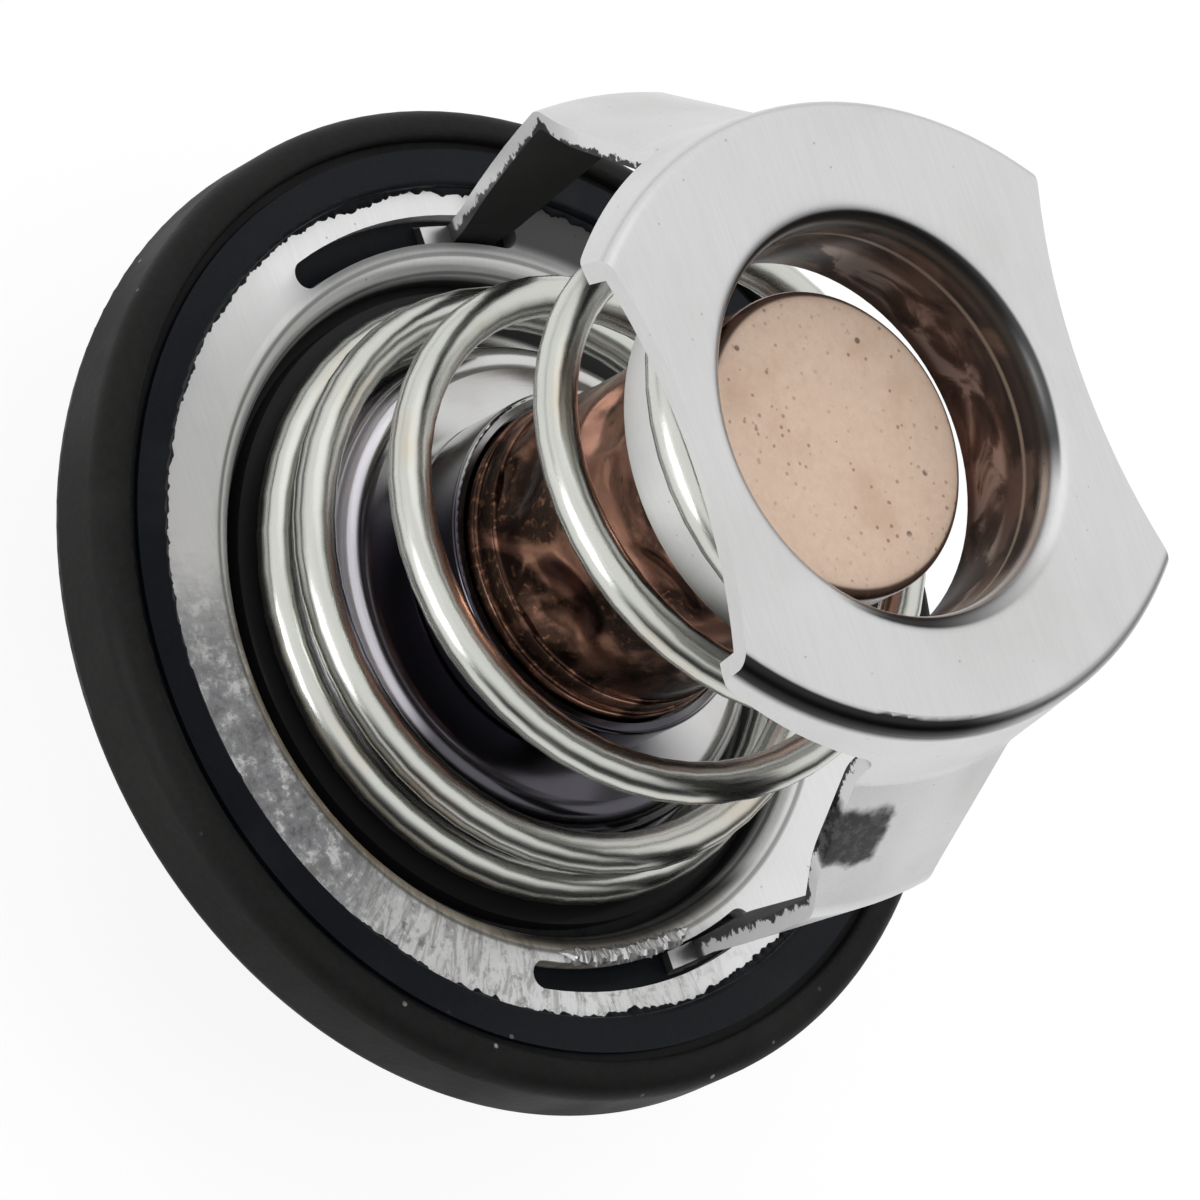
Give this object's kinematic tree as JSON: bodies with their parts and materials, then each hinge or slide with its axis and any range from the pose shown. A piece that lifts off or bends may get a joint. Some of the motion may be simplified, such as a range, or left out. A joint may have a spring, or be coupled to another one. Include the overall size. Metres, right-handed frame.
{
  "type": "engine thermostat",
  "caption": "Engine coolant thermostat: a wax capsule slides a sprung valve plate off its seat, in a pressed steel frame with a rubber seal ring.",
  "frame": {"origin": "on the axis, in the middle plane of the rubber seal ring", "axes": "+Z along the axis from the seal ring towards the pan of the lower frame and the capsule's end; +X through one leg of the lower frame; the bridge's feet are at +Y and -Y"},
  "size_m": [0.056, 0.056, 0.0528],
  "materials": {
    "seal_rubber": "moulded, matt",
    "zinc_steel": "pressed sheet, brushed satin",
    "spring_steel": "bright drawn wire",
    "plate_steel": "bright pressed sheet",
    "copper": "drawn copper, lightly tarnished",
    "brass": "turned",
    "pin_steel": "ground and polished",
    "wax": "filled wax",
    "inner_rubber": "moulded",
    "washer_plastic": "skived fluoropolymer"
  },
  "bodies": {
    "housing": {"seal_ring": "seal_rubber", "flange": "zinc_steel", "lower_frame": "zinc_steel", "bridge": "zinc_steel", "piston": "pin_steel", "main_spring": "spring_steel"},
    "valve": {"valve_plate": "plate_steel", "retaining_cup": "plate_steel", "wax_capsule": "copper", "guide": "brass", "wax_pellet": "wax", "diaphragm": "inner_rubber", "plug": "inner_rubber", "piston_washer": "washer_plastic", "stem_seal": "inner_rubber"}
  },
  "joints": [
    {"name": "valve_slide", "type": "slide", "parent": "housing", "child": "valve", "axis": [0, 0, 1], "range_m": [0, 0.008], "stiffness_N_per_m": 3200, "springref_m": -0.01, "deforming": ["main_spring"]}
  ]
}
